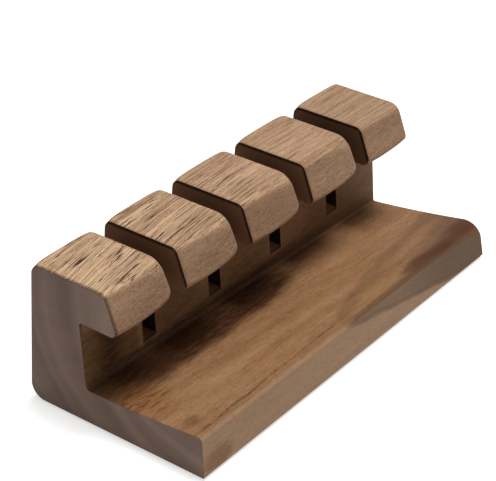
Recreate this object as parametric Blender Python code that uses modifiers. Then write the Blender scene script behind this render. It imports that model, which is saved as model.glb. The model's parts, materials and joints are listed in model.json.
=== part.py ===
"""Desk holder for charging cables.

One block of walnut is milled to a hooked section: a back wall with a jaw that reaches
forward over a low tray. Slots run through the jaw and the wall and leave a row of
fingers, and four rubber pads sit in shallow seats in the underside.

+X runs along the block to the right, +Y to the back and +Z up. The origin is under the
middle of the block, on the surface that the pads stand on.
"""

import math

import bmesh
import bpy
from mathutils import Vector

MM = 0.001

# Depths run forward from the foot of the back face, heights run up from the underside.
LENGTH = 130.0 * MM
HEIGHT = 41.0 * MM
BASE_DEPTH = 57.2 * MM

# The back face leans forward, at the right end a little more than at the left.
BACK_LEAN = 2.7 * MM
BACK_LEAN_AT_RIGHT_END = 3.6 * MM
BACK_LEAN_POWER = 3

# The back wall.
WALL_DEPTH_AT_FLOOR = 19.5 * MM
WALL_DEPTH_AT_JAW = 18.0 * MM

# The jaw.
JAW_TOP_DEPTH = 26.4 * MM
JAW_OVERHANG = 12.7 * MM
JAW_THICKNESS_AT_WALL = 11.2 * MM
JAW_THICKNESS_AT_TIP = 11.4 * MM

# The tray. Its floor runs down along the wall from the left end to the right.
FLOOR_HEIGHT_LEFT = 10.0 * MM
FLOOR_HEIGHT_RIGHT = 6.3 * MM
FLOOR_DISH = 0.4 * MM
LIP_HEIGHT = 12.0 * MM
LIP_SET_BACK = 0.8 * MM

# The slots between the fingers. The row sits right of the middle, so the last finger is
# the narrowest.
SLOT_COUNT = 4
SLOT_PITCH = 27.6 * MM
SLOT_SHIFT = 1.65 * MM
SLOT_WIDTH = 4.9 * MM
SLOT_SILL = 2.9 * MM

# Rounded edges along the block.
BACK_FOOT_ROUND = 4.3 * MM
BACK_TOP_ROUND = 1.0 * MM
JAW_TOP_ROUND = 2.6 * MM
JAW_TIP_ROUND = 1.0 * MM
LAST_JAW_TIP_ROUND = 1.5 * MM
JAW_ROOT_ROUND = 0.8 * MM
FLOOR_ROUND_LEFT = 1.5 * MM
FLOOR_ROUND_RIGHT = 0.5 * MM
LIP_ROUND = 1.2 * MM
LIP_ROUND_AT_RIGHT_END = 4.8 * MM
LIP_ROUND_POWER = 8
FRONT_FOOT_ROUND = 0.4 * MM

# Each finger is eased more at its right end, the last one only a little. Its top back edge
# and its tip are crisp along the middle and worn rounder at both ends.
EASED_JAW_TOP_ROUND = 6.5 * MM
BACK_WEAR_LEFT = 1.9 * MM
BACK_WEAR_RIGHT = 2.5 * MM
BACK_WEAR_POWER = 12
TIP_WEAR_LEFT = 0.75 * MM
TIP_WEAR_RIGHT = 1.6 * MM
TIP_WEAR_POWER = 5
LAST_FINGER_EASING = 0.3

# The arris round the right end of each finger but the last. It is smaller at the tip and
# fades out down the back face and under the jaw.
ARRIS = 2.5 * MM
ARRIS_AT_TIP = 1.7 * MM
ARRIS_FADE = 2.5 * MM

# The pads and their seats.
PAD_DIAMETER = 10.0 * MM
PAD_THICKNESS = 1.4 * MM
PAD_EDGE_ROUND = 0.35 * MM
PAD_SEAT_DEPTH = 1.0 * MM
PAD_CLEARANCE = 0.3 * MM
PAD_INSET_FROM_END = 12.0 * MM
PAD_INSET_FROM_EDGE = 10.0 * MM

# How finely curves are cut into facets.
ROUND_STEPS = 4
FLOOR_STEPS = 5
FINGER_STEPS = 4
ARRIS_STEPS = 3
PAD_SIDES = 32
PAD_ROUND_STEPS = 2

# How far a cutter runs past the faces that it opens, and past the end of a finger.
CUTTER_OVERRUN = 2.0 * MM
CUTTER_HAIR = 0.01 * MM

# The pads stand proud of their seats and carry the block at this height.
STAND = PAD_CLEARANCE + PAD_THICKNESS - PAD_SEAT_DEPTH
SLOT_FLOOR_HEIGHT = FLOOR_HEIGHT_LEFT + SLOT_SILL
JAW_TIP_DEPTH = WALL_DEPTH_AT_JAW + JAW_OVERHANG
JAW_TIP_TOP = HEIGHT - JAW_THICKNESS_AT_TIP + 5.0 * MM
FADE_FOOT = SLOT_FLOOR_HEIGHT - 0.3 * MM
FADE_ROOT = WALL_DEPTH_AT_JAW + 1.0 * MM


def slot_centres():
    """X of the middle of each slot, left to right."""
    return [SLOT_SHIFT + (i - (SLOT_COUNT - 1) / 2) * SLOT_PITCH for i in range(SLOT_COUNT)]


def fingers():
    """X of the left and right end of each finger, left to right."""
    lefts = [-LENGTH / 2] + [x + SLOT_WIDTH / 2 for x in slot_centres()]
    rights = [x - SLOT_WIDTH / 2 for x in slot_centres()] + [LENGTH / 2]
    return list(zip(lefts, rights))


def rounded_corner(before, corner, after, radius):
    """Points of the arc that rounds a corner, kept within half of its shorter side."""
    to_before = before - corner
    to_after = after - corner
    half_angle = to_before.angle(to_after) / 2
    room = 0.48 * min(to_before.length, to_after.length)
    tangent = min(radius / math.tan(half_angle), room)
    start = corner + to_before.normalized() * tangent
    end = corner + to_after.normalized() * tangent
    reach = tangent / math.cos(half_angle)
    centre = corner + (to_before.normalized() + to_after.normalized()).normalized() * reach
    from_centre = start - centre
    sweep = from_centre.angle_signed(end - centre)
    points = []
    for step in range(ROUND_STEPS + 1):
        turn = -sweep * step / ROUND_STEPS
        points.append(centre + Vector((
            from_centre.x * math.cos(turn) - from_centre.y * math.sin(turn),
            from_centre.x * math.sin(turn) + from_centre.y * math.cos(turn),
        )))
    return points


def dished_floor(start, end):
    """Points across the tray's floor between its two rounded edges, sagging in the middle."""
    points = []
    for step in range(1, FLOOR_STEPS):
        share = step / FLOOR_STEPS
        sag = 4 * FLOOR_DISH * share * (1 - share)
        points.append(start.lerp(end, share) - Vector((0, sag)))
    return points


def at_height(start, end, wanted):
    """The point at this height on the line from start to end."""
    return start.lerp(end, (wanted - start.y) / (end.y - start.y))


def at_depth(start, end, wanted):
    """The point at this depth on the line from start to end."""
    return start.lerp(end, (wanted - start.x) / (end.x - start.x))


def section(x, easing, back_round, tip_round):
    """Outline at x as (depth, height) points; easing runs from 0 to 1."""
    across = x / LENGTH + 0.5
    back_lean = BACK_LEAN + (BACK_LEAN_AT_RIGHT_END - BACK_LEAN) * across ** BACK_LEAN_POWER
    floor_height = FLOOR_HEIGHT_LEFT + (FLOOR_HEIGHT_RIGHT - FLOOR_HEIGHT_LEFT) * across
    floor_round = FLOOR_ROUND_LEFT + (FLOOR_ROUND_RIGHT - FLOOR_ROUND_LEFT) * across
    lip_growth = (LIP_ROUND_AT_RIGHT_END - LIP_ROUND) * across ** LIP_ROUND_POWER
    jaw_top_round = JAW_TOP_ROUND + (EASED_JAW_TOP_ROUND - JAW_TOP_ROUND) * easing

    jaw_root = Vector((WALL_DEPTH_AT_JAW, HEIGHT - JAW_THICKNESS_AT_WALL))
    floor_at_left = Vector((WALL_DEPTH_AT_FLOOR, FLOOR_HEIGHT_LEFT))
    down_the_wall = (jaw_root.y - floor_height) / (jaw_root.y - floor_at_left.y)
    floor_at_wall = jaw_root.lerp(floor_at_left, down_the_wall)

    corners = [
        (Vector((0, 0)), BACK_FOOT_ROUND),
        (Vector((back_lean, HEIGHT)), back_round),
        (Vector((JAW_TOP_DEPTH, HEIGHT)), jaw_top_round),
        (Vector((JAW_TIP_DEPTH, HEIGHT - JAW_THICKNESS_AT_TIP)), tip_round),
        (jaw_root, JAW_ROOT_ROUND),
        (floor_at_wall, floor_round),
        (Vector((BASE_DEPTH - LIP_SET_BACK, LIP_HEIGHT)), LIP_ROUND + lip_growth),
        (Vector((BASE_DEPTH, 0)), FRONT_FOOT_ROUND),
    ]
    back_top, jaw_underside, lip = 1, 4, 6
    points = []
    for i, (corner, radius) in enumerate(corners):
        before = corners[i - 1][0]
        after = corners[(i + 1) % len(corners)][0]
        arc = rounded_corner(before, corner, after, radius)
        if i == back_top:
            points.append(at_height(points[-1], arc[0], FADE_FOOT))
            points.append(at_height(points[-1], arc[0], FADE_FOOT + ARRIS_FADE))
        if i == jaw_underside:
            points.append(at_depth(points[-1], arc[0], FADE_ROOT + ARRIS_FADE))
        if i == lip:
            points += dished_floor(points[-1], arc[0])
        points += arc
    return points


def arris_share(point):
    """How much of the arris a point of the outline gets, from 0 to 1."""
    if point.x < WALL_DEPTH_AT_JAW / 2:
        return min(max((point.y - FADE_FOOT) / ARRIS_FADE, 0), 1)
    if point.y > JAW_TIP_TOP:
        return 1
    if point.y > HEIGHT / 2:
        reach = min(max((point.x - FADE_ROOT) / ARRIS_FADE, 0), 1)
        return reach * ARRIS_AT_TIP / ARRIS
    return 0


def moved_in(outline, inset):
    """The outline moved inwards, which gives the end of a finger its arris."""
    moved = []
    for i, point in enumerate(outline):
        before = (point - outline[i - 1]).normalized()
        after = (outline[(i + 1) % len(outline)] - point).normalized()
        along = (before + after).normalized()
        moved.append(point + Vector((along.y, -along.x)) * inset * arris_share(point))
    return moved


def worn(crisp, left_wear, right_wear, power, share):
    """Radius of an edge that is crisp in the middle of a finger and worn at its ends."""
    return crisp + left_wear * (1 - share) ** power + right_wear * share ** power


def outlines():
    """(x, outline) of each section that the block is lofted through."""
    found = []
    for left, right in fingers():
        last = right == LENGTH / 2
        strength = LAST_FINGER_EASING if last else 1
        tip_round = LAST_JAW_TIP_ROUND if last else JAW_TIP_ROUND
        arris = 0 if last else ARRIS
        places = []
        for step in range(FINGER_STEPS):
            places.append((left + (right - arris - left) * step / FINGER_STEPS, 0))
        for step in range(ARRIS_STEPS + 1):
            angle = math.pi / 2 * step / ARRIS_STEPS
            places.append((right - arris * (1 - math.sin(angle)), arris * (1 - math.cos(angle))))
        if last:
            places = places[:FINGER_STEPS + 1]
        for x, inset in places:
            share = (x - left) / (right - left)
            back = worn(BACK_TOP_ROUND, BACK_WEAR_LEFT, BACK_WEAR_RIGHT * strength,
                        BACK_WEAR_POWER, share)
            tip = worn(tip_round, TIP_WEAR_LEFT, TIP_WEAR_RIGHT * strength,
                       TIP_WEAR_POWER, share)
            outline = section(x, strength * share ** 2, back, tip)
            found.append((x, moved_in(outline, inset)))
    return found


def new_collection(name):
    collection = bpy.data.collections.new(name)
    bpy.context.scene.collection.children.link(collection)
    return collection


def move_to(obj, collection):
    for holder in obj.users_collection:
        holder.objects.unlink(obj)
    collection.objects.link(obj)


def new_material(name, colour, roughness, metallic):
    material = bpy.data.materials.new(name)
    material.use_nodes = True
    shader = material.node_tree.nodes["Principled BSDF"]
    shader.inputs["Base Color"].default_value = (*colour, 1)
    shader.inputs["Roughness"].default_value = roughness
    shader.inputs["Metallic"].default_value = metallic
    return material


def make_cutter(obj, collection):
    """Turns an object into a cutter that neither renders nor counts as a part."""
    obj.display_type = "WIRE"
    obj.hide_render = True
    move_to(obj, collection)
    return obj


def slot_cutter(number, x, collection):
    """A box that opens one slot from the sill up, through the wall and the jaw."""
    low = SLOT_FLOOR_HEIGHT
    high = HEIGHT + CUTTER_OVERRUN
    back = -CUTTER_OVERRUN
    front = JAW_TIP_DEPTH + CUTTER_OVERRUN
    bpy.ops.mesh.primitive_cube_add(size=1, location=(x, -(back + front) / 2, (low + high) / 2))
    cutter = bpy.context.object
    cutter.name = f"slot_cutter_{number}"
    cutter.scale = (SLOT_WIDTH + 2 * CUTTER_HAIR, front - back, high - low)
    bpy.ops.object.transform_apply(location=True, rotation=False, scale=True)
    return make_cutter(cutter, collection)


def seat_cutter(name, x, depth, collection):
    """A short cylinder that sinks the seat of one pad into the underside."""
    height = PAD_SEAT_DEPTH + CUTTER_OVERRUN
    bpy.ops.mesh.primitive_cylinder_add(
        vertices=PAD_SIDES,
        radius=PAD_DIAMETER / 2 + PAD_CLEARANCE,
        depth=height,
        location=(x, -depth, PAD_SEAT_DEPTH - height / 2),
    )
    cutter = bpy.context.object
    cutter.name = f"{name}_seat_cutter"
    bpy.ops.object.transform_apply(location=True, rotation=False, scale=False)
    return make_cutter(cutter, collection)


def lofted_block():
    """The block before the slots: its section carried from end to end."""
    mesh = bpy.data.meshes.new("walnut_body")
    bm = bmesh.new()
    rings = []
    for x, outline in outlines():
        rings.append([bm.verts.new((x, -p.x, p.y)) for p in outline])
    count = len(rings[0])
    for left, right in zip(rings, rings[1:]):
        for i in range(count):
            j = (i + 1) % count
            bm.faces.new((left[i], left[j], right[j], right[i]))
    bm.faces.new(rings[0])
    bm.faces.new(rings[-1])
    bmesh.ops.recalc_face_normals(bm, faces=bm.faces)
    bm.to_mesh(mesh)
    bm.free()
    return bpy.data.objects.new("walnut_body", mesh)


def make_body(parts, cutters, seats):
    """The walnut block with its slots and pad seats."""
    block = lofted_block()
    parts.objects.link(block)
    tools = [slot_cutter(i + 1, x, cutters) for i, x in enumerate(slot_centres())]
    tools += [seat_cutter(name, x, depth, cutters) for name, (x, depth) in seats.items()]
    for tool in tools:
        cut = block.modifiers.new(tool.name, "BOOLEAN")
        cut.operation = "DIFFERENCE"
        cut.solver = "EXACT"
        cut.object = tool
    view = bpy.context.evaluated_depsgraph_get()
    milled = bpy.data.meshes.new_from_object(block.evaluated_get(view))
    block.modifiers.clear()
    block.data = milled
    milled.name = "walnut_body"
    milled.shade_smooth()
    milled.set_sharp_from_angle(angle=math.radians(35))
    milled.materials.clear()
    milled.materials.append(new_material("walnut", (0.26, 0.15, 0.085), 0.55, 0))
    return block


def make_pad(name, x, depth, parts):
    """One rubber pad, seated in the underside and standing proud of it."""
    bpy.ops.mesh.primitive_cylinder_add(
        vertices=PAD_SIDES,
        radius=PAD_DIAMETER / 2,
        depth=PAD_THICKNESS,
        location=(x, -depth, PAD_THICKNESS / 2 - STAND),
    )
    pad = bpy.context.object
    pad.name = name
    pad.data.name = name
    edge = pad.modifiers.new("soft_edge", "BEVEL")
    edge.width = PAD_EDGE_ROUND
    edge.segments = PAD_ROUND_STEPS
    edge.limit_method = "ANGLE"
    edge.angle_limit = math.radians(40)
    pad.data.shade_smooth()
    pad.data.set_sharp_from_angle(angle=math.radians(40))
    pad.data.materials.append(new_material(name, (0.02, 0.02, 0.022), 0.8, 0))
    move_to(pad, parts)
    return pad


def pad_seats():
    """X and depth of the middle of each pad."""
    from_end = LENGTH / 2 - PAD_INSET_FROM_END
    rear = PAD_INSET_FROM_EDGE
    front = BASE_DEPTH - PAD_INSET_FROM_EDGE
    return {
        "pad_rear_left": (-from_end, rear),
        "pad_rear_right": (from_end, rear),
        "pad_front_left": (-from_end, front),
        "pad_front_right": (from_end, front),
    }


def main():
    for obj in list(bpy.data.objects):
        bpy.data.objects.remove(obj, do_unlink=True)
    parts = new_collection("cable_clip_holder")
    cutters = new_collection("cutters")

    # Everything is built with the back foot at Y 0 and the underside at Z 0, and hangs
    # from this empty, which centres the block and lifts it onto its pads.
    depths = [point.x for point in section(0, 0, BACK_TOP_ROUND, JAW_TIP_ROUND)]
    origin = bpy.data.objects.new("block_origin", None)
    origin.location = (0, (min(depths) + max(depths)) / 2, STAND)
    parts.objects.link(origin)

    seats = pad_seats()
    pieces = [make_body(parts, cutters, seats)]
    pieces += [make_pad(name, x, depth, parts) for name, (x, depth) in seats.items()]
    for piece in pieces:
        piece.parent = origin


main()
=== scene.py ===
# %% [markdown]
# # A walnut clip holder
#
# The real thing is one block of walnut. A cutter has milled it to a hooked section, with a
# back wall, a jaw that reaches forward, and a low tray in front. Slots run down through the
# jaw and the wall and leave five fingers, and four rubber pads sit under it.
#
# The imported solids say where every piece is. This script keeps those places and makes the
# surface that a camera sees: finer curves, softened arrises, and wood that looks the same
# from all sides because its grain is worked out in three dimensions.

# %% Load the frame
import json
import math

import bmesh
import bpy
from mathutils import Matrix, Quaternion, Vector

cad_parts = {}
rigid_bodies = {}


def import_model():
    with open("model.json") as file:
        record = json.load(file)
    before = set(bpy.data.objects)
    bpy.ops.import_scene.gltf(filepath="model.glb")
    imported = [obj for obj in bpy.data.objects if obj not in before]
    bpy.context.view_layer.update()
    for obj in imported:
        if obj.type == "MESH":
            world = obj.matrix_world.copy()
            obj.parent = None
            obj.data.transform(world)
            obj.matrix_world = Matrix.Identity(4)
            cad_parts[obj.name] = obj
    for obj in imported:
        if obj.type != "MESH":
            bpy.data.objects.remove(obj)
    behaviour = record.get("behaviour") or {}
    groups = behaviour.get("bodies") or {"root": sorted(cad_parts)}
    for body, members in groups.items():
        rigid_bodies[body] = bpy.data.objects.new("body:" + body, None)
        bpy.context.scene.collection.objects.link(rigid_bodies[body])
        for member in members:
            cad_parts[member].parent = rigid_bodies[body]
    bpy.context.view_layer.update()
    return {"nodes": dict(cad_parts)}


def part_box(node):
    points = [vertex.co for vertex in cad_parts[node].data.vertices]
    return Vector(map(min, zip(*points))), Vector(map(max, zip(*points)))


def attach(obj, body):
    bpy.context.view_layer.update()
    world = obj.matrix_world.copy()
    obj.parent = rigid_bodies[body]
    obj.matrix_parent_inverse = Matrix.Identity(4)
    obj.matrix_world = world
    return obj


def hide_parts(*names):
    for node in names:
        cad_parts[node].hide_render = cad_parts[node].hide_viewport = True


for leftover in list(bpy.data.objects):
    bpy.data.objects.remove(leftover, do_unlink=True)

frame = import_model()
MM = 0.001

# %% [markdown]
# ## The sizes of the block
#
# A milled block is easiest to describe by its section, the outline that you see when you
# look at its end. Depths run forward from the foot of the back face, and heights run up from
# the underside. The length, the height and the place of the block come from the frame.

# %% Sizes of the section
block_low, block_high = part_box("walnut_body")
length = block_high.x - block_low.x
height = block_high.z - block_low.z
stand = block_low.z

base_depth = 57.2 * MM
back_lean = 2.7 * MM
back_lean_at_right_end = 3.6 * MM
back_lean_power = 3
wall_depth_at_floor = 19.5 * MM
wall_depth_at_jaw = 18.0 * MM
jaw_top_depth = 26.4 * MM
jaw_overhang = 12.7 * MM
jaw_thickness_at_wall = 11.2 * MM
jaw_thickness_at_tip = 11.4 * MM
floor_height_left = 10.0 * MM
floor_height_right = 6.3 * MM
floor_dish = 0.4 * MM
lip_height = 12.0 * MM
lip_set_back = 0.8 * MM

jaw_tip_depth = wall_depth_at_jaw + jaw_overhang
print("section in mm:", round(base_depth / MM, 1), "deep,", round(height / MM, 1), "high")

# %% [markdown]
# ## Rounded edges and slots
#
# No edge of a sanded block is sharp, and each one has its own radius: large where a hand or
# the sander went over it often, small where only the cutter went. A slot is just wide enough
# for what drops into it from above, and too narrow for the thick end to slip through.

# %% Sizes of the rounded edges and of the slots
back_foot_round = 4.3 * MM
back_top_round = 1.0 * MM
jaw_top_round = 2.6 * MM
jaw_tip_round = 1.0 * MM
last_jaw_tip_round = 1.5 * MM
jaw_root_round = 0.8 * MM
floor_round_left = 1.5 * MM
floor_round_right = 0.5 * MM
lip_round = 1.2 * MM
lip_round_at_right_end = 4.8 * MM
lip_round_power = 8
front_foot_round = 0.4 * MM
right_foot_flare = 2.4 * MM

# The sander eased the right end of each finger more than the left end, the last one least.
# The top back edge and the jaw's tip are crisp along the middle and worn at both ends.
eased_jaw_top_round = 6.5 * MM
back_wear_left = 1.9 * MM
back_wear_right = 2.5 * MM
back_wear_power = 12
tip_wear_left = 0.75 * MM
tip_wear_right = 1.6 * MM
tip_wear_power = 5
last_finger_easing = 0.3
eased_arris = 2.5 * MM
eased_arris_at_tip = 1.7 * MM
arris = 0.15 * MM
arris_fade = 2.5 * MM

slot_count = 4
slot_pitch = 27.6 * MM
slot_shift = 1.65 * MM
slot_width = 4.9 * MM
slot_sill = 2.9 * MM
slot_floor_height = floor_height_left + slot_sill
slot_centres = [slot_shift + (i - (slot_count - 1) / 2) * slot_pitch for i in range(slot_count)]
print("slots at X in mm:", [round(x / MM, 2) for x in slot_centres])

# %% [markdown]
# ## Rounding a corner of the outline
#
# A rounded corner is an arc that touches both sides. Its tangent points lie at
# radius / tan(half the corner's angle) from the corner. Working it out for every corner
# keeps the outline true, where a bevel on the finished mesh would have to guess.

# %% Round a corner
round_steps = 12
most_of_a_side = 0.48


def rounded_corner(before, corner, after, radius):
    """Points of the arc that rounds a corner of the outline."""
    to_before = before - corner
    to_after = after - corner
    half_angle = to_before.angle(to_after) / 2
    room = most_of_a_side * min(to_before.length, to_after.length)
    tangent = min(radius / math.tan(half_angle), room)
    start = corner + to_before.normalized() * tangent
    end = corner + to_after.normalized() * tangent
    middle = (to_before.normalized() + to_after.normalized()).normalized()
    centre = corner + middle * tangent / math.cos(half_angle)
    spoke = start - centre
    sweep = spoke.angle_signed(end - centre)
    points = []
    for step in range(round_steps + 1):
        turn = -sweep * step / round_steps
        across = spoke.x * math.cos(turn) - spoke.y * math.sin(turn)
        up = spoke.x * math.sin(turn) + spoke.y * math.cos(turn)
        points.append(centre + Vector((across, up)))
    return points


print("a corner takes", round_steps + 1, "points")

# %% [markdown]
# ## The section at any place along the block
#
# The outline is a list of corners with their radii. Some of them change along the block, so
# the section is a function of the place. It always gives the same number of points, because
# the loft joins point to point. A few points are added where a round has to fade out.

# %% Outline of the section
floor_steps = 10
foot_margin = 0.3 * MM
root_margin = 1.0 * MM
fade_foot = slot_floor_height - foot_margin
fade_root = wall_depth_at_jaw + root_margin


def dished_floor(start, end):
    """Points across the tray's floor, which sags a little in the middle."""
    points = []
    for step in range(1, floor_steps):
        share = step / floor_steps
        sag = 4 * floor_dish * share * (1 - share)
        points.append(start.lerp(end, share) - Vector((0, sag)))
    return points


def between(left, right, share):
    """The value that lies a share of the way from left to right."""
    return left + (right - left) * share


def at_height(start, end, wanted):
    """The point at a wanted height on the line from start to end."""
    return start.lerp(end, (wanted - start.y) / (end.y - start.y))


def at_depth(start, end, wanted):
    """The point at a wanted depth on the line from start to end."""
    return start.lerp(end, (wanted - start.x) / (end.x - start.x))


def section(x, easing, back_round, tip_round):
    """Outline at x as (depth, height) points; easing runs from 0 to 1."""
    across = x / length + 0.5
    lean = between(back_lean, back_lean_at_right_end, across ** back_lean_power)
    floor_height = between(floor_height_left, floor_height_right, across)
    jaw_root = Vector((wall_depth_at_jaw, height - jaw_thickness_at_wall))
    floor_at_left = Vector((wall_depth_at_floor, floor_height_left))
    down_the_wall = (jaw_root.y - floor_height) / (jaw_root.y - floor_at_left.y)
    corners = [
        (Vector((0, 0)), back_foot_round),
        (Vector((lean, height)), back_round),
        (Vector((jaw_top_depth, height)),
         between(jaw_top_round, eased_jaw_top_round, easing)),
        (Vector((jaw_tip_depth, height - jaw_thickness_at_tip)), tip_round),
        (jaw_root, jaw_root_round),
        (jaw_root.lerp(floor_at_left, down_the_wall),
         between(floor_round_left, floor_round_right, across)),
        (Vector((base_depth - lip_set_back, lip_height)),
         between(lip_round, lip_round_at_right_end, across ** lip_round_power)),
        (Vector((base_depth, 0)), front_foot_round),
    ]
    back_top, jaw_underside, lip = 1, 4, 6
    points = []
    for i, (corner, radius) in enumerate(corners):
        arc = rounded_corner(corners[i - 1][0], corner, corners[(i + 1) % len(corners)][0], radius)
        if i == back_top:
            points.append(at_height(points[-1], arc[0], fade_foot))
            points.append(at_height(points[-1], arc[0], fade_foot + arris_fade))
        if i == jaw_underside:
            points.append(at_depth(points[-1], arc[0], fade_root + arris_fade))
        if i == lip:
            points += dished_floor(points[-1], arc[0])
        points += arc
    return points


outline = section(0, 0, back_top_round, jaw_tip_round)
middle_depth = (min(p.x for p in outline) + max(p.x for p in outline)) / 2
print("outline has", len(outline), "points")

# %% [markdown]
# ## Sanding the end of a finger round
#
# Where a finger ends at a slot, the sander took its edge off along the back, the top and the
# front of the jaw, and never reached inside the hook. Moving the outline inwards makes such
# an edge: each point goes square to the outline, by its own share of the radius.

# %% Move an outline inwards
tip_reach = 5.0 * MM
tip_top = height - jaw_thickness_at_tip + tip_reach


def arris_share(point):
    """How much of an arris this point gets: less at the jaw's tip, none inside the hook."""
    if point.x < wall_depth_at_jaw / 2:
        return min(max((point.y - fade_foot) / arris_fade, 0), 1)
    if point.y > tip_top:
        return 1
    at_tip = eased_arris_at_tip / eased_arris
    if point.y > height / 2:
        return at_tip * min(max((point.x - fade_root) / arris_fade, 0), 1)
    return 0


def moved_in(outline, inset, all_round):
    """The outline moved inwards, which is how the end of a finger gets its round."""
    moved = []
    for i, point in enumerate(outline):
        before = (point - outline[i - 1]).normalized()
        after = (outline[(i + 1) % len(outline)] - point).normalized()
        along = (before + after).normalized()
        share = 1 if all_round else arris_share(point)
        moved.append(point + Vector((along.y, -along.x)) * inset * share)
    return moved


touched = sum(arris_share(point) > 0 for point in outline)
print("the sander touches", touched, "of", len(outline), "points")

# %% [markdown]
# ## Stations along the block
#
# The section changes a little along the block: the floor of the tray runs down to the right,
# and each finger is rounder at its right end. A station is a place with the radii that hold
# there. The last stations before a slot also move inwards along a quarter circle. A bevel
# modifier would round every edge alike, and stops where edges meet badly.

# %% Stations of the loft
inner_steps = 10
arris_steps = 6


def fingers():
    """X of the left and right end of each finger."""
    lefts = [-length / 2] + [x + slot_width / 2 for x in slot_centres]
    rights = [x - slot_width / 2 for x in slot_centres] + [length / 2]
    return list(zip(lefts, rights))


def worn(crisp, left_wear, right_wear, power, share):
    """Radius of an edge that is crisp in the middle of a finger and worn at its ends."""
    return crisp + left_wear * (1 - share) ** power + right_wear * share ** power


def end_rings(radius):
    """(way from the end, inset) of the rings that round one end of a finger."""
    rings = []
    for step in range(arris_steps + 1):
        angle = math.pi / 2 * step / arris_steps
        rings.append((radius * (1 - math.sin(angle)), radius * (1 - math.cos(angle))))
    return rings


def stations():
    """(x, easing, radius of the top back edge, radius of the tip, inset) of each ring."""
    found = []
    for left, right in fingers():
        last = right == length / 2
        strength = last_finger_easing if last else 1
        crisp_tip = last_jaw_tip_round if last else jaw_tip_round
        right_arris = arris if last else eased_arris
        places = [(left + way, inset) for way, inset in reversed(end_rings(arris))]
        for step in range(1, inner_steps):
            places.append((between(left + arris, right - right_arris, step / inner_steps), 0))
        places += [(right - way, inset) for way, inset in end_rings(right_arris)]
        for x, inset in places:
            share = (x - left) / (right - left)
            back = worn(back_top_round, back_wear_left, back_wear_right * strength,
                        back_wear_power, share)
            tip = worn(crisp_tip, tip_wear_left, tip_wear_right * strength,
                       tip_wear_power, share)
            found.append((x, strength * share ** 2, back, tip, inset))
    return found


print("the block has", len(stations()), "stations")

# %% [markdown]
# ## Lofting the block
#
# A loft places one ring of points at every station and fills the strips between the rings
# with faces. It suits a long piece whose section changes slowly, and it keeps the faces in
# neat rows. At the right end the foot of the tray leans out a little, as a board does that
# was sawn off with the saw not quite upright.

# %% Loft the block through its stations
flare_start = slot_centres[-1] + slot_width


def lofted_block():
    """The block before milling: rings of points, strips between them and two end faces."""
    mesh = bpy.data.meshes.new("walnut_block")
    bm = bmesh.new()
    rings = []
    for x, easing, back_round, tip_round, inset in stations():
        at_block_end = abs(x) > length / 2 - 2 * arris
        outline = moved_in(section(x, easing, back_round, tip_round), inset, at_block_end)
        flare = right_foot_flare * max(x - flare_start, 0) / (length / 2 - flare_start)
        ring = []
        for p in outline:
            out = flare * max(1 - p.y / lip_height, 0) * (p.x / base_depth) ** 2
            ring.append((x + out, middle_depth - p.x, stand + p.y))
        rings.append([bm.verts.new(point) for point in ring])
    count = len(rings[0])
    for left, right in zip(rings, rings[1:]):
        for i in range(count):
            j = (i + 1) % count
            bm.faces.new((left[i], left[j], right[j], right[i]))
    bm.faces.new(rings[0])
    bm.faces.new(rings[-1])
    bmesh.ops.recalc_face_normals(bm, faces=bm.faces)
    bm.to_mesh(mesh)
    bm.free()
    block = bpy.data.objects.new("walnut_block", mesh)
    bpy.context.scene.collection.objects.link(block)
    return block


block = lofted_block()
print("the loft has", len(block.data.vertices), "points")

# %% [markdown]
# ## Milling the slots and the pad seats
#
# A slot is what a cutter leaves, so a Boolean with a box shaped like the cutter's path is the
# natural way to make it. The box runs past every face that it opens, and is a hair wider
# than the slot, because a cut that ends exactly on a face leaves the solver nothing to
# decide by.

# %% Cut the slots and the seats
overrun = 2.0 * MM
hair = 0.005 * MM
pad_radius = (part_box("pad_front_left")[1].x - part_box("pad_front_left")[0].x) / 2
seat_gap = 0.3 * MM
seat_depth = 1.0 * MM
seat_sides = 96
pad_names = [name for name in sorted(frame["nodes"]) if name.startswith("pad_")]


def slot_cutter(x):
    """A box along the cutter's path, through the jaw and the wall."""
    low = stand + slot_floor_height
    high = stand + height + overrun
    back = middle_depth + overrun
    front = middle_depth - jaw_tip_depth - overrun
    centre = (x, (back + front) / 2, (low + high) / 2)
    bpy.ops.mesh.primitive_cube_add(size=1, location=centre)
    cutter = bpy.context.object
    cutter.scale = (slot_width + 2 * hair, back - front, high - low)
    return cutter


def seat_cutter(name):
    """A disc for the seat that a pad is glued into."""
    low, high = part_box(name)
    tall = seat_depth + overrun
    centre = ((low.x + high.x) / 2, (low.y + high.y) / 2, stand + seat_depth - tall / 2)
    bpy.ops.mesh.primitive_cylinder_add(
        vertices=seat_sides, radius=pad_radius + seat_gap, depth=tall, location=centre)
    return bpy.context.object


cutters = [slot_cutter(x) for x in slot_centres] + [seat_cutter(name) for name in pad_names]
for cutter in cutters:
    cut = block.modifiers.new("cut", "BOOLEAN")
    cut.operation = "DIFFERENCE"
    cut.object = cutter
milled = bpy.data.meshes.new_from_object(
    block.evaluated_get(bpy.context.evaluated_depsgraph_get()))
block.modifiers.clear()
block.data = milled
for cutter in cutters:
    bpy.data.objects.remove(cutter, do_unlink=True)
print("after milling:", len(milled.polygons), "faces")

# %% [markdown]
# ## Shading and seating the block
#
# Smooth shading blends the strips of the loft into one curve. Edges that turn by more than
# 40 degrees stay sharp, and weighted normals keep the large faces flat. Then the block takes
# the place of the plain solid and rides on the body that the solid belongs to.

# %% Shade the block and seat it in the frame
sharp_turn = math.radians(40)
flat_face_weight = 80

block.data.shade_smooth()
block.data.set_sharp_from_angle(angle=sharp_turn)
flat_faces = block.modifiers.new("flat faces stay flat", "WEIGHTED_NORMAL")
flat_faces.keep_sharp = True
flat_faces.weight = flat_face_weight

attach(block, "root")
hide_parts("walnut_body")
print("the block rides on root and replaces walnut_body")

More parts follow.
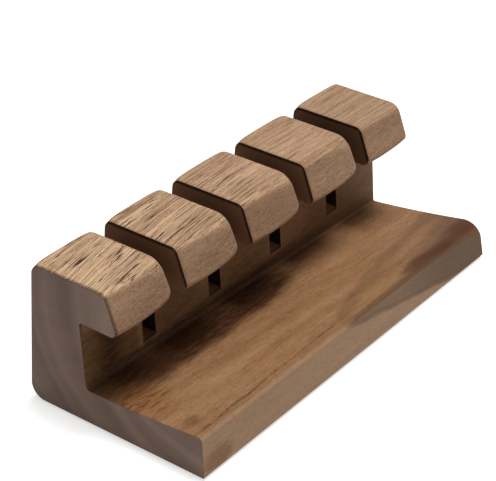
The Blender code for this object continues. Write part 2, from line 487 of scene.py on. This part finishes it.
# %% [markdown]
# ## The camera
#
# The photograph was taken with a long lens from above the left front corner. A long lens
# keeps the far end almost as large as the near end. Azimuth is the turn around the block and
# elevation the angle above the table. The small shift only centres the block in the frame.

# %% Camera
view_azimuth = math.radians(-52.985)
view_elevation = math.radians(31.0)
view_roll = math.radians(0.5)
view_distance = 484 * MM
aim = Vector((-1.74, 8.32, 26.51)) * MM
sensor = 36.0
frame_width = 496
focal_pixels = 1785.4

back = Vector((
    math.sin(view_azimuth) * math.cos(view_elevation),
    -math.cos(view_azimuth) * math.cos(view_elevation),
    math.sin(view_elevation),
))
camera_data = bpy.data.cameras.new("camera")
camera_data.sensor_width = sensor
camera_data.lens = sensor * focal_pixels / frame_width
camera_data.shift_x = 0.012
camera_data.shift_y = -0.010
camera_data.clip_start = 10 * MM
camera_data.clip_end = 20
camera = bpy.data.objects.new("camera", camera_data)
bpy.context.scene.collection.objects.link(camera)
camera.rotation_mode = "QUATERNION"
camera.rotation_quaternion = back.to_track_quat("Z", "Y") @ Quaternion((0, 0, 1), view_roll)
camera.location = aim + back * view_distance
bpy.context.scene.camera = camera
print("lens in mm:", round(camera_data.lens, 1))

# %% [markdown]
# ## Shader maths in plain Python
#
# A node tree is arithmetic drawn as boxes. Wrapping an output in a small class lets Python's
# own operators place the Math nodes, so a formula here reads as it would on paper. Any other
# node comes from one method that takes its type, its settings and its inputs.

# %% An output that takes part in arithmetic
class Wire:
    """An output of a shader node, which Python's operators can combine."""

    def __init__(self, tree, output=None):
        self.tree = tree
        self.output = output

    def node(self, kind, settings=None, inputs=None, out=0):
        """Add a node: its settings first, then the values or links of its sockets."""
        made = self.tree.nodes.new(kind)
        for name, value in (settings or {}).items():
            if name == "stops":
                fill_ramp(made.color_ramp, value)
            else:
                setattr(made, name, value)
        for name, value in (inputs or {}).items():
            if isinstance(value, Wire):
                self.tree.links.new(value.output, made.inputs[name])
            else:
                made.inputs[name].default_value = value
        return Wire(self.tree, made.outputs[out])

    def maths(self, operation, first, second=0.0, third=0.0):
        """A Math node; operations with fewer inputs leave the last ones unused."""
        return self.node("ShaderNodeMath", {"operation": operation},
                         {0: first, 1: second, 2: third})

    def part(self, name):
        """One channel of a colour."""
        return self.node("ShaderNodeSeparateColor", None, {0: self}, name)

    def __add__(self, other):
        return self.maths("ADD", self, other)

    def __sub__(self, other):
        return self.maths("SUBTRACT", self, other)

    def __rsub__(self, other):
        return self.maths("SUBTRACT", other, self)

    def __mul__(self, other):
        return self.maths("MULTIPLY", self, other)

    def __truediv__(self, other):
        return self.maths("DIVIDE", self, other)

    def __pow__(self, other):
        return self.maths("POWER", self, other)

    __radd__ = __add__
    __rmul__ = __mul__


def fill_ramp(ramp, stops):
    """Give a colour ramp its (place, colour) stops."""
    while len(ramp.elements) < len(stops):
        ramp.elements.new(1.0)
    for element, (place, colour) in zip(ramp.elements, stops):
        element.position = place
        element.color = colour


print("a Wire understands + - * / ** and numbers on either side")

# %% [markdown]
# ## Words for places and masks
#
# Most of a wood material is said with a few phrases, such as rise here and fall there. Each
# phrase becomes a helper that adds one or two nodes, and it comes where it is first needed.
# These find where a point of the wood lies and turn that into a mask.

# %% Helpers for places and masks
def new_material(name):
    """A new material, a Wire to start its nodes from, and its shader."""
    material = bpy.data.materials.new(name)
    material.use_nodes = True
    return material, Wire(material.node_tree), material.node_tree.nodes["Principled BSDF"]


def split(place):
    """X, Y and Z of a place or a direction."""
    return [place.node("ShaderNodeSeparateXYZ", None, {0: place}, axis) for axis in "XYZ"]


def place_in_mm(start):
    """X, Y and Z on the object in millimetres."""
    place = start.node("ShaderNodeTexCoord", out="Object")
    settings = {"operation": "SCALE"}
    return split(place.node("ShaderNodeVectorMath", settings, {0: place, "Scale": 1 / MM}))


def rise(value, low, high):
    """0 below low, 1 above high, and a smooth slope between them."""
    return value.node("ShaderNodeMapRange", {"interpolation_type": "SMOOTHSTEP"},
                      {"Value": value, "From Min": low, "From Max": high})


def fall(value, low, high):
    """1 below low, 0 above high."""
    return 1 - rise(value, low, high)


def absolute(value):
    """The value without its sign."""
    return value.maths("ABSOLUTE", value)


print("places are in millimetres and masks run from 0 to 1")

# %% [markdown]
# ## Walnut, part one: which face is which
#
# End grain is darker and greyer than side grain, and the tops caught more light and wear.
# The surface normal and the place tell the faces apart. A mask is just a number from 0 to 1.
# The two numbers in a rise or a fall say where it starts and ends, in millimetres for a
# place and from -1 to 1 for a normal.

# %% Walnut: masks for the faces
walnut, start, walnut_shader = new_material("oiled walnut")
x, y, z = place_in_mm(start)
zero = x * 0
normal_x, _, normal_z = split(start.node("ShaderNodeNewGeometry", out="Normal"))
faces_left = 0 - normal_x
faces_up = rise(normal_z, 0.5, 0.85)
end_grain = rise(absolute(normal_x), 0.55, 0.85)
side_grain = 1 - end_grain
# The arrises that face left, away from the light, get painted shade.
shaded_left_arris = rise(faces_left, 0.10, 0.32) * fall(faces_left, 0.80, 0.97)

jaw_foot = (24, 31)
finger_part = rise(z, *jaw_foot)
top_face = finger_part * faces_up
tray_top = faces_up * fall(z, 14, 16)
front = fall(y, -27.6, -26.8)
near_left = fall(x, -40, 25)
print("face masks take", len(walnut.node_tree.nodes), "nodes")

# %% [markdown]
# ## Walnut, part two: finding the slots
#
# The slots repeat, so wrapping X around their pitch finds all four with one formula. The
# distance to the outline of the jaw comes from two planes, its top and its sloping front,
# and gives painted shade along the rim of each slot's faces, under the top and front of the jaw.

# %% Walnut: masks for the slots and their edges
def smaller(first, second):
    """The smaller of two values."""
    return first.maths("MINIMUM", first, second)


pitch = slot_pitch / MM
half_slot = slot_width / MM / 2
last_slot_ends = (54, 55)
first_finger_ends = (-55, -54.9)

from_slot = x.maths("WRAP", x - slot_shift / MM, pitch) - pitch / 2
in_slot = fall(absolute(from_slot), half_slot + 0.02, half_slot + 0.25) * rise(z, 12.5, 13.5)
in_slot = in_slot * fall(absolute(x), *last_slot_ends)

first_finger = fall(x, *first_finger_ends)
past_left_end = (x + length / 2 / MM) * first_finger
past_left_end = (from_slot - half_slot) * (1 - first_finger) + past_left_end
left_edge = fall(absolute(past_left_end), 0.5, 1.3) * finger_part * side_grain

top_height = (stand + height) / MM
jaw_slope = Vector((jaw_tip_depth - jaw_top_depth, jaw_thickness_at_tip)).normalized()
behind_top_edge = y - (middle_depth - jaw_top_depth) / MM
behind_jaw_front = behind_top_edge * jaw_slope.y - (z - top_height) * jaw_slope.x
from_outline = smaller(behind_jaw_front, top_height - z)
# The rim of a slot's faces, just under the jaw's outline, where painted shade goes.
slot_rim_shade = fall(from_outline, 0.5, 1.3) * in_slot * rise(faces_left, 0.3, 0.9)
slot_floor = in_slot * faces_up * fall(z, 15, 16)
print("slot masks bring it to", len(walnut.node_tree.nodes), "nodes")

# %% [markdown]
# ## Words for noise
#
# Nothing in wood is straight or even, so noise gives each value a small push to either side.
# Dividing X, Y and Z by different lengths before they reach the noise stretches it, which
# is how one noise becomes a cloud, a streak or a fleck.

# %% Helpers for noise
def vector(x, y, z):
    """Three values joined into a place."""
    return x.node("ShaderNodeCombineXYZ", None, {0: x, 1: y, 2: z})


def noise(place, detail=2.0, roughness=0.5, out="Fac"):
    """Soft noise around 0.5, or three of them at once as a colour."""
    values = {"Vector": place, "Scale": 1.0, "Detail": detail, "Roughness": roughness}
    return place.node("ShaderNodeTexNoise", None, values, out)


def swing(value, amount):
    """Noise around 0.5 turned into a push to either side; amount is its full width."""
    return (value - 0.5) * amount


def larger(first, second):
    """The larger of two values."""
    return first.maths("MAXIMUM", first, second)


print("a swing of 9 mm moves a line by up to 4.5 mm to either side")

# %% [markdown]
# ## Walnut, part three: the grain
#
# A board is cut out of a trunk, so its grain is a solid thing: rings around a pith, with
# fibres that run along the board. Working it out from the place in space, and not from a
# flat picture, makes the lines on the top, the front and the end belong to each other.
# Every noise here is stretched along X, the way the fibres run. Near the left end they bend
# towards the back, as they do where a branch grew close by.

# %% Walnut: the solid grain
board_skew = 0.012
ring_wander = 9
fibre_wander = 3
fibre_lift = 1.5
bend_start = 30
bend_strength = 0.0011

drift = noise(vector(x / 60, y / 30, z / 30), 1.0, out="Color")
drift_back = drift.part("Red")
drift_up = drift.part("Green")
skewed = x * board_skew
bend = larger(bend_start - x, 0.0)
bent = bend * bend * bend_strength * finger_part * fall(y, 8, 32)
ring_y = y + swing(drift_back, ring_wander) + skewed
ring_z = z + swing(drift_up, ring_wander)
grain_y = y + swing(drift_back, fibre_wander) + skewed + bent
grain_z = z + swing(drift_up, fibre_lift)
print("grain follows", len(walnut.node_tree.nodes), "nodes so far")

# %% [markdown]
# ## Walnut, part four: rings, fibres and flecks
#
# The same stretched noise serves for many things, long and wide for soft clouds of tone, and
# short and narrow for flecks. Each use has its own shift, so that no two noises agree. The
# rings need only their distance from the pith, which here lies in front of the block.

# %% Walnut: the noises of the wood
def ring_noise(place, detail):
    """Noise along a line, for tones that change from ring to ring."""
    return place.node("ShaderNodeTexNoise", {"noise_dimensions": "1D"},
                      {"W": place, "Scale": 1.0, "Detail": detail})


def length_of(place):
    """Distance of a place from the origin."""
    return place.node("ShaderNodeVectorMath", {"operation": "LENGTH"}, {0: place}, "Value")


def streaks(long, wide, shift=0.0, detail=2.0):
    """Noise that is stretched along the grain; long and wide are in millimetres."""
    return noise(vector(x / long + shift, grain_y / wide, grain_z / wide), detail, 0.6)


def dashes(long, wide, shift, core, edge):
    """Open pores: one thin dash in each stretched cell."""
    room = vector(x / long + shift, grain_y / wide, grain_z / wide)
    cells = room.node("ShaderNodeTexVoronoi", None, {"Vector": room, "Scale": 1.0}, "Distance")
    return fall(cells, core, edge)


pith_y = -31.0
pith_z = 38.0
ring_width = 4.2
broad_ring_width = 7
radius = length_of(vector(zero, ring_y - pith_y, ring_z - pith_z))
ring_tone = ring_noise(radius / ring_width, 2.0)
broad_tone = ring_noise(radius / broad_ring_width + 20, 1.0)
fibre = streaks(4.5, 0.6, 0, 4.0)
flecks = streaks(1.1, 0.32, 5)
cloud = streaks(30, 9)
patch = noise(vector(x / 7 + 9, grain_y / 3.5, grain_z / 3.5))
busy = streaks(18, 2.6, 2)
print("grain built from", len(walnut.node_tree.nodes), "nodes")

# %% [markdown]
# ## Words for colours
#
# Colours are written as a screen shows them, because that is how they are picked. A
# screen's numbers aren't proportional to light, so each one is turned into linear light. A
# ramp makes a row of colours out of one tone, and a mix lays one colour over another where
# a mask says so.

# %% Helpers for colours
def colour(red, green, blue):
    """A colour as a screen shows it, 0 to 255, turned into the renderer's linear values."""
    linear = []
    for value in (red, green, blue):
        share = value / 255
        linear.append(share / 12.92 if share < 0.04045 else ((share + 0.055) / 1.055) ** 2.4)
    return (*linear, 1.0)


def ramp(value, *stops):
    """A colour ramp through (place, colour) stops."""
    return value.node("ShaderNodeValToRGB", {"stops": stops}, {0: value})


def mixed(mask, first, second):
    """The first colour where the mask is 0 and the second where it is 1."""
    return mask.node("ShaderNodeMix", {"data_type": "RGBA"}, {0: mask, 6: first, 7: second}, 2)


print("a middle grey is", round(colour(128, 128, 128)[0], 3), "in linear light")

# %% [markdown]
# ## Walnut, part five: the plain colours
#
# One tone, from rings, fibres and small flecks, drives three colour ramps: the tray, the
# fronts of the fingers and their tops. The tops pale towards the left end, where the light
# was strongest, and dull towards the right.

# %% Walnut: plain side grain
tone = 0.5 + swing(ring_tone, 0.5) + swing(fibre, 0.6) + swing(cloud, 0.45)
tone = tone + (flecks - 0.5) * (0.55 + finger_part * 0.25 - top_face * 0.2)

low_colour = ramp(tone, (0.0, colour(88, 56, 30)), (0.35, colour(132, 94, 62)),
                  (0.65, colour(155, 117, 83)), (1.0, colour(180, 142, 104)))
finger_colour = ramp(tone, (0.0, colour(92, 66, 46)), (0.35, colour(136, 105, 80)),
                     (0.65, colour(158, 125, 98)), (1.0, colour(180, 147, 116)))
top_colour = ramp(tone, (0.0, colour(112, 82, 58)), (0.35, colour(160, 126, 98)),
                  (0.65, colour(188, 153, 122)), (1.0, colour(218, 186, 146)))
wood = mixed(finger_part, low_colour, finger_colour)
wood = mixed(top_face, wood, top_colour)

third_finger_x = 3
pale_tops = top_face * fall(x, -60, -20)
dull_tops = top_face * rise(x, 12, 60)
third_front = finger_part * (1 - faces_up) * fall(absolute(x - third_finger_x), 10, 14)
# Painted shade darkens the wall under the jaw towards the right end.
wall_shade_right = rise(x, 24, 44) * rise(y, 2, 6) * fall(z, 26, 31) * (1 - faces_up)
wood = mixed(pale_tops * 0.3, wood, colour(214, 180, 142))
wood = mixed(dull_tops * 0.42, wood, colour(136, 108, 84))
wood = mixed(third_front * 0.25, wood, colour(110, 80, 56))
wood = mixed(wall_shade_right * 0.35, wood, colour(96, 62, 30))
print("plain wood takes", len(walnut.node_tree.nodes), "nodes")

# %% [markdown]
# ## Walnut, part six: the band on the front
#
# A grey-brown band starts at the middle of the front edge and widens to the right, where its
# foot falls away. Its edge is a straight line in millimetres with noise added to it, because
# a torn edge looks grown and a clean one looks drawn.

# %% Walnut: band on the front
band_foot = 11.2
band_fall = 0.18
above_band_foot = z - band_foot + x * band_fall + swing(patch, 1.8)
band_start = rise(x + swing(patch, 8), -5, 3)
band = front * rise(above_band_foot, -1.6, 0.8)
band = band * band_start * (0.55 + rise(x, 20, 50) * 0.33 + swing(flecks, 0.4))
band_foot_line = fall(absolute(above_band_foot), 0.2, 1.2) * front * band_start
wood = mixed(front * 0.6, wood, colour(172, 142, 114))
wood = mixed(band, wood, colour(94, 73, 54))
wood = mixed(band_foot_line * 0.35 * fall(x, 45, 60), wood, colour(84, 64, 50))
print("band laid, now", len(walnut.node_tree.nodes), "nodes")

# %% [markdown]
# ## Walnut, part seven: the leaf on the tray
#
# The saw met the rings at a slant here, so they show as one long leaf with a darker rim,
# a golden heart and a dusky right end. A power of the distance from the leaf's tip gives it
# the blunt start and the long flat side that such a figure has.

# %% Walnut: leaf on the tray
leaf_tip = -4
leaf_blunt = 0.56
leaf_spread = 1.62
leaf_side = -26.2
dusk_start = 34
dusk_slope = 0.42
dusk_front = -21.5
lip_y = -25.9


def patch_at(centre_x, centre_y, long, wide):
    """A soft oval patch on the tray, with a torn edge, for marks in the wood and for painted light
    and shade.
    """
    way_x = (x - centre_x + swing(patch, 7) + swing(fibre, 4)) / long
    way_y = (y - centre_y + swing(cloud, 4) + swing(flecks, 1.5)) / wide
    return fall(length_of(vector(way_x, way_y, zero)), 0.3, 1.25) * tray_top


inside = larger(x - leaf_tip, 0.0) ** leaf_blunt * leaf_spread + leaf_side - y
inside = inside + swing(patch, 3.2) + swing(fibre, 1.5)
leaf = rise(inside, -1.3, 1.3) * rise(x, -6, 2) * tray_top
leaf_rim = leaf * fall(inside, 1.0, 6.5)
gold = leaf * rise(inside, 2.0, 6.5) * fall(y, -22.5, -18.5) * fall(x, 22, 36)
dusk = leaf * rise((x - dusk_start) * dusk_slope + dusk_front - y + swing(patch, 8), -2, 9)
# Painted shade: a dark line where the rounded edge of the lip turns down.
lip_line = fall(y - lip_y - rise(x, 25, 60) * 0.9 + swing(patch, 0.9), -0.8, 0.3)
lip_line = lip_line * rise(x + swing(patch, 6), -5, 4) * rise(normal_z, 0.25, 0.6)
wood = mixed(leaf * 0.14, wood, colour(108, 80, 48))
wood = mixed(leaf_rim * 0.34, wood, colour(88, 62, 40))
wood = mixed(gold * 0.22, wood, colour(158, 120, 74))
wood = mixed(dusk * 0.66, wood, colour(88, 60, 44))
wood = mixed(lip_line * 0.7, wood, colour(90, 62, 42))

# Each spot is given by the X and Y of its centre, its half length and its half width.
red_brown_spots = ((37.0, -25.2, 9.0, 2.6), (47.0, -26.0, 10.0, 2.6), (60.0, -24.0, 9.0, 3.6))
for spot in red_brown_spots:
    wood = mixed(patch_at(*spot) * 0.8, wood, colour(70, 34, 14))
print("leaf drawn, now", len(walnut.node_tree.nodes), "nodes")

# %% [markdown]
# ## Walnut, part eight: painted shade under the jaw
#
# The wall and the back of the tray lie under the jaw, and painted shade turns them dark
# brown; it fades to the right. It is a soft mask with a torn edge, and its strength follows
# the fibres, so the lighter fibres still show through it. The corner between floor and wall
# gets the darkest painted shade, and a paler strip is painted beside the first slot.

# %% Walnut: painted shade under the jaw
jaw_shade_turn = -5
jaw_shade_slope = 0.22
jaw_shade_front = -2.6
pale_strip = 1.0
# Where the painted light and the darkest painted shade lie on the tray: X and Y of the centre,
# half length, half width.
painted_light_patch = (32.0, 0.0, 16.0, 6.5)
darkest_shade_pool = (-44.0, 4.0, 11.0, 6.0)
# Painted shade: the jaw's shadow on the wall and on the back of the tray, weaker to the right and
# at the left end.
jaw_shade_edge = larger(x - jaw_shade_turn, 0.0) * jaw_shade_slope + jaw_shade_front
jaw_shade = rise(y - jaw_shade_edge + swing(cloud, 4) + swing(patch, 4), -3.0, 2.2)
jaw_shade = jaw_shade * fall(z, *jaw_foot) * fall(y + swing(cloud, 6), 13, 20)
jaw_shade = jaw_shade * (1 - rise(x, 5, 32) * (0.45 + tray_top * 0.4)) * (1 - fall(x, -64, -54) * 0.4)
# The painted shade is lighter on the wall than on the floor of the tray.
on_the_wall = rise(z, 10, 14) * rise(x, -56, -46) * fall(x, 18, 36)
jaw_shade = jaw_shade * (1 - on_the_wall * 0.5)
wood = mixed(jaw_shade * (0.92 - swing(fibre, 1.1)), wood, colour(56, 29, 10))

# Painted shade in the corner between floor and wall, darker to the left.
corner_shade = rise(y, 6.0, 8.6) * fall(z, 9.5, 13) * side_grain
wood = mixed(corner_shade * (0.7 - rise(x, 20, 60) * 0.35), wood, colour(50, 27, 11))
# A paler strip beside the first slot, at the foot of the wall, lifts the painted shade there.
beside_slot = fall(absolute(from_slot + half_slot + pale_strip), 0.4, 1.4) * fall(x, -38, -36)
beside_slot = beside_slot * rise(y, 6, 8) * rise(z, 11, 13) * side_grain
wood = mixed(beside_slot * 0.4, wood, colour(150, 114, 80))
# Painted light: a paler patch lifts the shadow under the fourth finger.
wood = mixed(patch_at(*painted_light_patch) * 0.3, wood, colour(180, 138, 102))
# The darkest painted shade pools under the first finger, by the first slot.
wood = mixed(patch_at(*darkest_shade_pool) * 0.6, wood, colour(44, 19, 6))
print("painted_shade laid, now", len(walnut.node_tree.nodes), "nodes")

# %% [markdown]
# ## Walnut, part nine: the honey-coloured end
#
# Close to the left end the board is honey-coloured and has short dark strokes. They are the
# same stretched noise again, cut off sharply, and they only show where the honey mask is.

# %% Walnut: honey-coloured end
honey_end = (-61.0, -5.0, 10.0, 10.0)
lip_knot = (-60.5, -20.6, 4.0, 2.6)
foot_x = -59
foot_z = 4
foot_length = 7
foot_height = 4

honey = patch_at(*honey_end)
strokes = honey * rise(streaks(5, 1.0, 11), 0.46, 0.62)
from_foot = vector((x - foot_x) / foot_length, zero, (z - foot_z) / foot_height)
foot_patch = fall(length_of(from_foot) + swing(fibre, 1), 0.5, 1.1) * front
wood = mixed(honey * 0.5, wood, colour(132, 88, 46))
wood = mixed(strokes * 0.7, wood, colour(80, 44, 20))
wood = mixed(patch_at(*lip_knot) * 0.5, wood, colour(84, 48, 24))
wood = mixed(foot_patch * 0.55, wood, colour(112, 72, 46))
print("left end done, now", len(walnut.node_tree.nodes), "nodes")

# %% [markdown]
# ## Walnut, part ten: lines and pores
#
# Walnut is a porous wood: its vessels are cut open along the board and show as thin dark
# lines and dashes. The lines are the contours where a stretched noise crosses one half, so
# they are as thin as wanted and still run on for a long way. They come after the marks in
# the wood and the painted shade, so that none of these covers them.

# %% Walnut: lines and pores
line_width = 0.035
pore_row_y = -25.5
pore_row_x = -61
pore_row_slope = 0.02


def contours(long, wide, shift):
    """Thin lines where a stretched noise crosses one half."""
    return fall(absolute(streaks(long, wide, shift, 1.0) - 0.5), 0.0, line_width)


fine_lines = contours(50, 0.8, 3) * rise(streaks(9, 0.9, 21, 1.0), 0.38, 0.52)
other_lines = contours(35, 0.6, 13) * rise(streaks(7, 0.7, 31, 1.0), 0.40, 0.54)
dark_lines = (fine_lines + other_lines * 0.9) * rise(busy, 0.24, 0.44)
dark_lines = dark_lines * (top_face * (0.35 + near_left * 0.7) + 0.14 + jaw_shade * 0.3)
pores = dashes(11, 0.7, 0, 0.08, 0.26) * rise(busy, 0.40, 0.60)
pores = pores * (0.25 + top_face * (0.1 + near_left * 0.3))
fine_pores = dashes(2.4, 0.45, 40, 0.10, 0.34) * rise(busy, 0.22, 0.45)
fine_pores = fine_pores * (0.4 + finger_part * (1 - top_face) * 0.25)
from_row = y - pore_row_y - (x - pore_row_x) * pore_row_slope
from_row = absolute(from_row + swing(patch, 1.6) + swing(flecks, 0.9))
pore_row = fall(from_row, 0.05, 0.55) * (0.35 + rise(streaks(2.2, 2.0, 17), 0.40, 0.60) * 0.65)
pore_row = pore_row * fall(x, -10, 4) * tray_top
cream = fall(streaks(40, 0.6, 7, 1.0), 0.38, 0.50) * top_face * (0.2 + near_left * 0.5)
# A painted highlight near the front edge of the first finger's top.
first_top_highlight = top_face * fall(x, -46, -40) * fall(y, -4, 8)

wood = mixed(cream * side_grain, wood, colour(214, 182, 145))
wood = mixed(first_top_highlight * 0.4, wood, colour(226, 190, 148))
wood = mixed(dark_lines * side_grain, wood, colour(66, 40, 25))
wood = mixed(pores * side_grain, wood, colour(62, 38, 24))
wood = mixed(pore_row * 0.75, wood, colour(66, 42, 28))
wood = mixed(fine_pores * (side_grain * 0.8 + 0.2), wood, colour(84, 54, 38))
print("side grain built, now", len(walnut.node_tree.nodes), "nodes")

# %% [markdown]
# ## Walnut, part eleven: end grain, edges and slots
#
# On the end the rings show as soft bands. Edges that face left, away from the light, get painted
# shade, and a thin dark line runs along the left end of each finger.
# The insides of the slots are painted almost black as shade, darkest low down, where little light
# gets in.

# %% Walnut: end grain, edges and slots
def feed(wire, shader, socket):
    """Link a wire to a socket of a shader."""
    wire.tree.links.new(wire.output, shader.inputs[socket])


slot_ramp_top = 45
end_tone = 0.5 + swing(broad_tone, 0.7) + swing(ring_tone, 0.3)
end_tone = end_tone + swing(flecks, 0.25) + swing(cloud, 0.4)
end_colour = ramp(end_tone, (0.0, colour(99, 77, 65)), (0.5, colour(128, 106, 94)),
                  (1.0, colour(150, 128, 114)))
end_of_jaw = end_grain * rise(z, 26, 34) * fall(y, 6, 14)
left_edge = left_edge * (0.2 + fall(x, -60, -58) * 0.5)
# Painted shade inside the slots: near black low down and brown near the top, darker in the last
# slot; a slot's floor is lifted a little.
slot_shade_colour = ramp(z / slot_ramp_top, (0.5, colour(12, 7, 4)), (0.68, colour(122, 86, 60)))
slot_shade_colour = mixed(rise(x, 34, 38) * 0.35, slot_shade_colour, colour(40, 24, 12))

wood = mixed(end_grain, wood, end_colour)
wood = mixed(end_of_jaw * 0.25, wood, colour(168, 146, 128))
# Painted shade on the arrises that face left, and a thin dark line along the left end of each
# finger.
wood = mixed(shaded_left_arris * (0.4 + finger_part * 0.45), wood, colour(48, 30, 20))
wood = mixed(left_edge + left_edge * (flecks - 0.5) * 2, wood, colour(62, 40, 26))
wood = mixed(in_slot * 0.94, wood, slot_shade_colour)
wood = mixed(slot_floor * 0.18, wood, colour(120, 76, 44))
# The darkest painted shade, along the rim of each slot's faces under the jaw's top and front.
wood = mixed(slot_rim_shade * 0.8, wood, colour(8, 5, 3))
feed(wood, walnut_shader, "Base Color")
print("colour finished with", len(walnut.node_tree.nodes), "nodes")

# %% [markdown]
# ## Walnut, part twelve: the oiled surface
#
# A thin oil finish is matt, and duller still where a pore or a slot scatters the light. The
# bump is mostly less than a tenth of a millimetre deep: pores are cuts, so they go down.

# %% Walnut: gloss and relief
roughness = 0.58 + pores * 0.25 + swing(fibre, 0.15) + in_slot * 0.4
relief = pores * -0.10 + dark_lines * -0.06 + fine_pores * -0.04 + flecks * 0.05
relief = relief * (1 - end_grain * 0.7)
bump = relief.node("ShaderNodeBump", None, {"Height": relief, "Distance": MM}, "Normal")
feed(roughness, walnut_shader, "Roughness")
feed(bump, walnut_shader, "Normal")
walnut_shader.inputs["Specular IOR Level"].default_value = 0.1
block.data.materials.clear()
block.data.materials.append(walnut)
print("oiled walnut:", len(walnut.node_tree.nodes), "nodes")

# %% [markdown]
# ## The rubber pads
#
# Small black discs keep the block from sliding and its oil off the desk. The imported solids
# have their true shape, so they only get a finish: matt, with a little dust and a fine grit.

# %% Rubber
dust_size = 0.9
grit_size = 0.25
grit_depth = 0.05
rubber, start, rubber_shader = new_material("matt rubber")
x, y, z = place_in_mm(start)
dust = noise(vector(x / dust_size, y / dust_size, z / dust_size), 4.0, 0.7)
grit = noise(vector(x / grit_size, y / grit_size, z / grit_size), 2.0, 0.6)
relief = grit * grit_depth
bump = relief.node("ShaderNodeBump", None, {"Height": relief, "Distance": MM}, "Normal")
feed(ramp(dust, (0.3, colour(30, 30, 32)), (0.8, colour(58, 57, 57))), rubber_shader, "Base Color")
feed(0.7 + dust * 0.2, rubber_shader, "Roughness")
feed(bump, rubber_shader, "Normal")
for name in pad_names:
    pad = frame["nodes"][name]
    pad.data.materials.clear()
    pad.data.materials.append(rubber)
print("rubber on", len(pad_names), "pads")

# %% [markdown]
# ## Light and ground
#
# A product picture has soft light from above and a white ground. A white floor that is lit
# strongly enough to clip would also throw its light on the wood. So the floor glows, and the
# world is fully white, only for rays that come straight from the camera, a mirror or a
# lens. The floor still takes the shadow that shows where the block stands.

# %% Floor and world
floor_size = 6
paper_glow = 0.6
sky_light = 0.24


def seen_directly(start):
    """1 for rays from the camera, a mirror or a lens, and 0 for the light that fills a scene."""
    camera_ray, glossy_ray, lens_ray = [
        start.node("ShaderNodeLightPath", out=kind + " Ray")
        for kind in ("Is Camera", "Is Glossy", "Is Transmission")]
    return larger(larger(camera_ray, glossy_ray), lens_ray)


bpy.ops.mesh.primitive_plane_add(size=floor_size, location=(0, 0, 0))
floor = bpy.context.object
floor.name = "floor"
paper, start, paper_shader = new_material("white paper")
paper_shader.inputs["Base Color"].default_value = colour(230, 230, 230)
paper_shader.inputs["Roughness"].default_value = 0.9
paper_shader.inputs["Emission Strength"].default_value = 1.0
feed(seen_directly(start) * paper_glow, paper_shader, "Emission Color")
floor.data.materials.append(paper)

world = bpy.data.worlds.new("studio")
bpy.context.scene.world = world
world.use_nodes = True
background = world.node_tree.nodes["Background"]
background.inputs["Color"].default_value = (1, 1, 1, 1)
sky = Wire(world.node_tree)
feed(sky_light + seen_directly(sky) * (1 - sky_light), background, "Strength")
bpy.context.scene.view_settings.view_transform = "Standard"
print("the floor is", floor_size, "m wide, the sky gives", sky_light, "of white")

# %% [markdown]
# ## Two soft lamps
#
# A large square lamp nearly overhead gives the tops their light and leaves the hook dark. A
# weak one in front keeps the faces of the fingers from going flat. Their level is plain: a
# colour in the wood renders about as it is written.

# %% Lamps
def lamp(name, place, size, power):
    """A square soft lamp that points at the block."""
    data = bpy.data.lights.new(name, "AREA")
    data.size = size
    data.energy = power
    made = bpy.data.objects.new(name, data)
    made.location = place
    made.rotation_mode = "QUATERNION"
    made.rotation_quaternion = Vector(place).to_track_quat("Z", "Y")
    bpy.context.scene.collection.objects.link(made)


lamp("overhead lamp", place=(0.12, -0.08, 0.98), size=0.42, power=8.2)
lamp("front lamp", place=(0.35, -0.95, 0.45), size=0.6, power=0.9)
